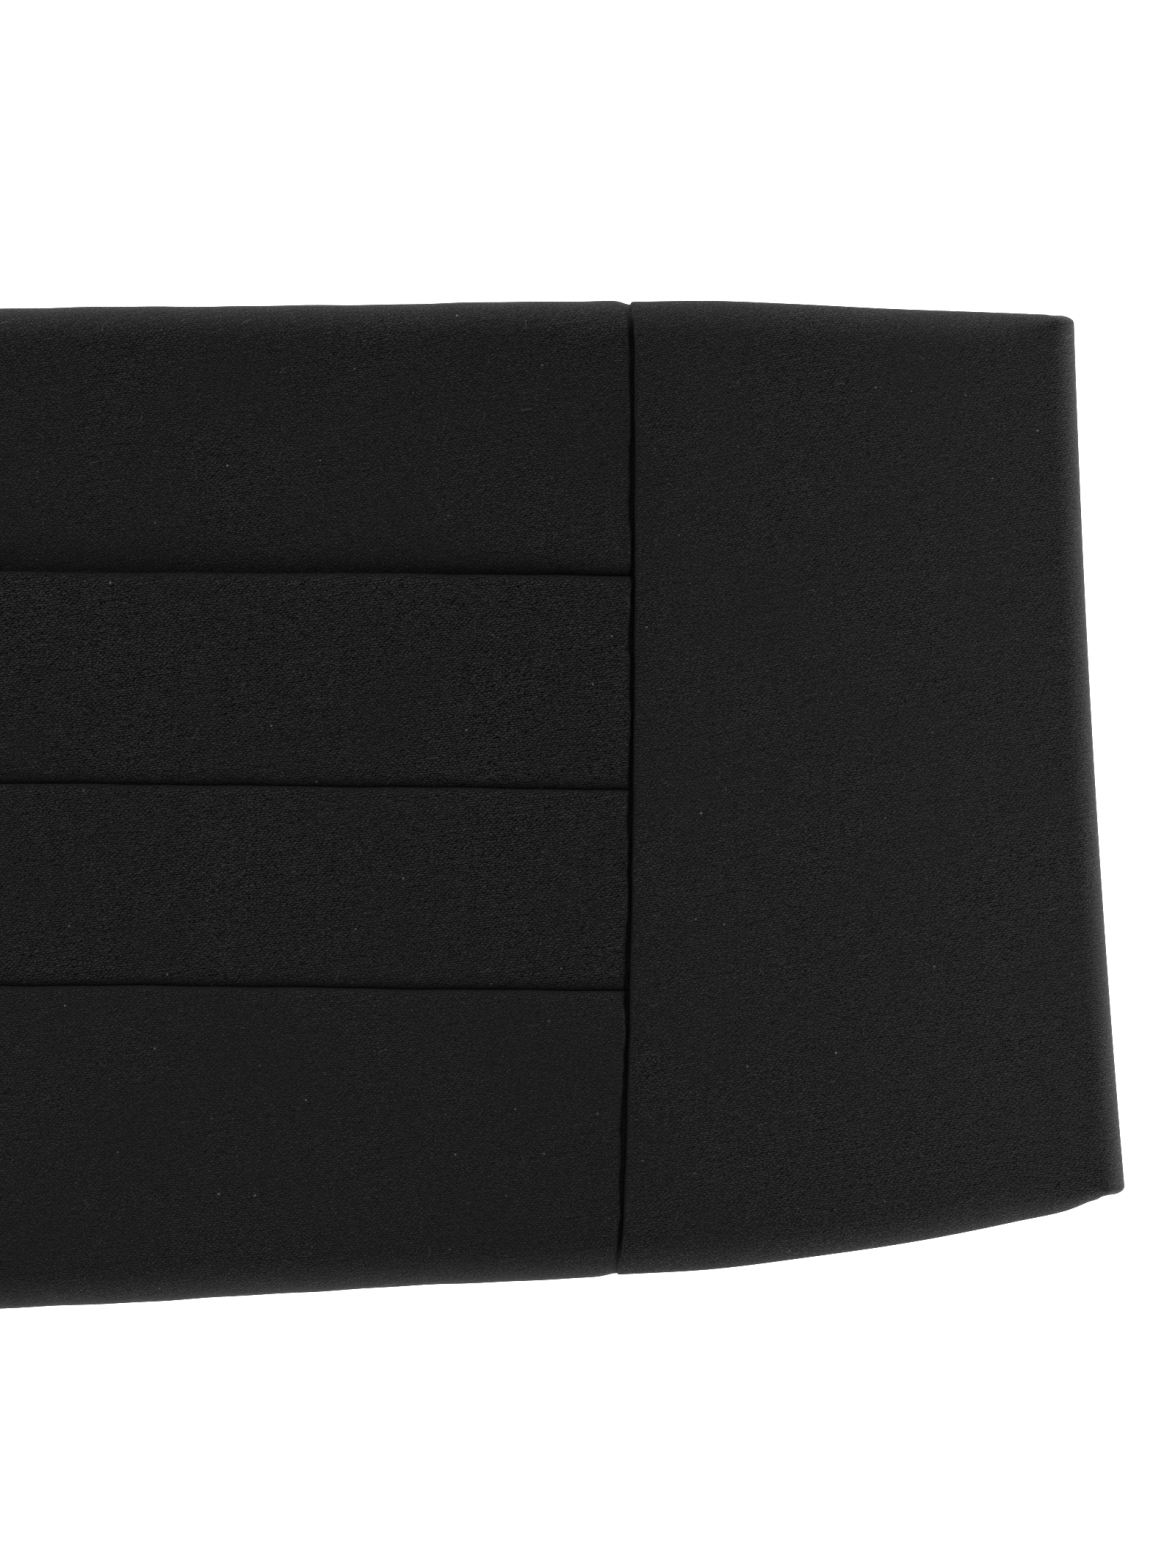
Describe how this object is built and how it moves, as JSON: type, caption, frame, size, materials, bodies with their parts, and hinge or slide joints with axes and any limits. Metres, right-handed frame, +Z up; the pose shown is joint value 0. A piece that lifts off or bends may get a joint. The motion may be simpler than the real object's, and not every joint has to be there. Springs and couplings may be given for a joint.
{
  "type": "cummerbund",
  "caption": "Black pleated dress cummerbund, fastened into a loop behind and laid face up: upward-opening pleats between tapering side panels, back straps joined by a plain clasp.",
  "frame": {"origin": "on the table, under the middle of the whole piece as it lies", "axes": "+X along the waist towards the right side fold as seen from the front, +Y towards the top edge, +Z up out of the pleated front"},
  "size_m": [0.436, 0.1286, 0.0176],
  "materials": {
    "cloth": "fine matt black weave with a faint sheen",
    "strap": "black woven strap",
    "clasp": "satin black enamel"
  },
  "bodies": {
    "root": {"pleat_1_top": "cloth", "pleat_2": "cloth", "pleat_3": "cloth", "pleat_4_bottom": "cloth", "side_panel_right": "cloth", "side_panel_left": "cloth", "back_strap_right": "strap", "back_strap_left": "strap", "back_clasp": "clasp"}
  },
  "joints": []
}
